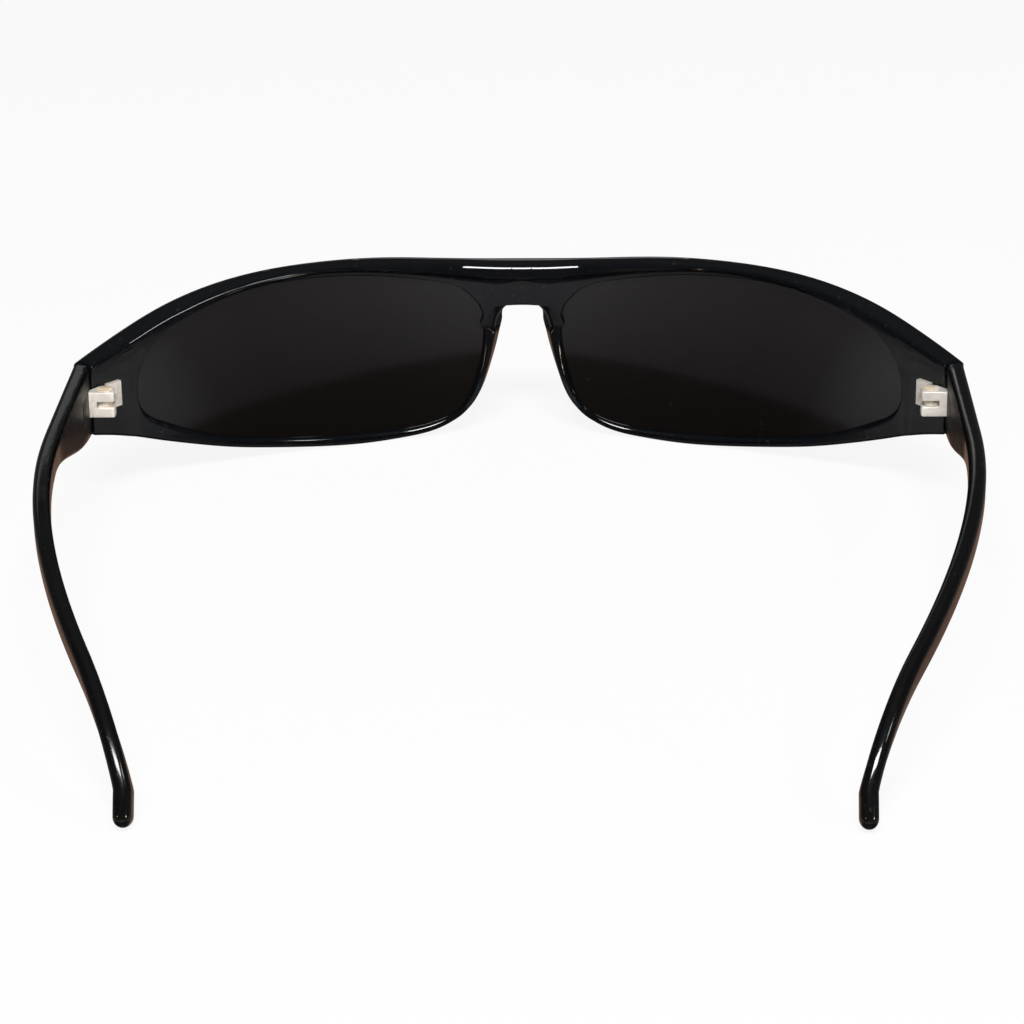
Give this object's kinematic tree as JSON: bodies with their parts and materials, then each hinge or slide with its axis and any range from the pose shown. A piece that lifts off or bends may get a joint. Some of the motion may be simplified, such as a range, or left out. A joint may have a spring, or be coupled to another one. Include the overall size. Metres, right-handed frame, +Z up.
{
  "type": "sunglasses",
  "caption": "Narrow wraparound full-rim sunglasses: a curved front with a lens in each rim and slender temples that fold on barrel hinges.",
  "frame": {"origin": "on the table under the middle of the object's box, between the temples", "axes": "+Z up as the glasses stand on their rims and temple tips, +Y the way the wearer looks, +X the wearer's right"},
  "size_m": [0.1428, 0.1532, 0.0324],
  "materials": {
    "front": "polished",
    "temple": "polished",
    "lens": "polished smoke tint",
    "front_leaf": "nickel plated",
    "temple_leaf": "nickel plated",
    "screw": "nickel plated"
  },
  "bodies": {
    "front": {"front_frame": "front", "lens_left": "lens", "lens_right": "lens", "front_leaf_left": "front_leaf", "front_leaf_right": "front_leaf"},
    "temple_left": {"temple_left": "temple", "temple_leaf_left": "temple_leaf", "hinge_screw_left": "screw"},
    "temple_right": {"temple_right": "temple", "temple_leaf_right": "temple_leaf", "hinge_screw_right": "screw"}
  },
  "joints": [
    {"name": "fold_left", "type": "hinge", "parent": "front", "child": "temple_left", "pos_m": [-0.06593, 0.03846, 0.01835], "axis": [0, 0, 1], "range_deg": [0, 90]},
    {"name": "fold_right", "type": "hinge", "parent": "front", "child": "temple_right", "pos_m": [0.06593, 0.03846, 0.01835], "axis": [0, 0, -1], "range_deg": [0, 80]}
  ]
}
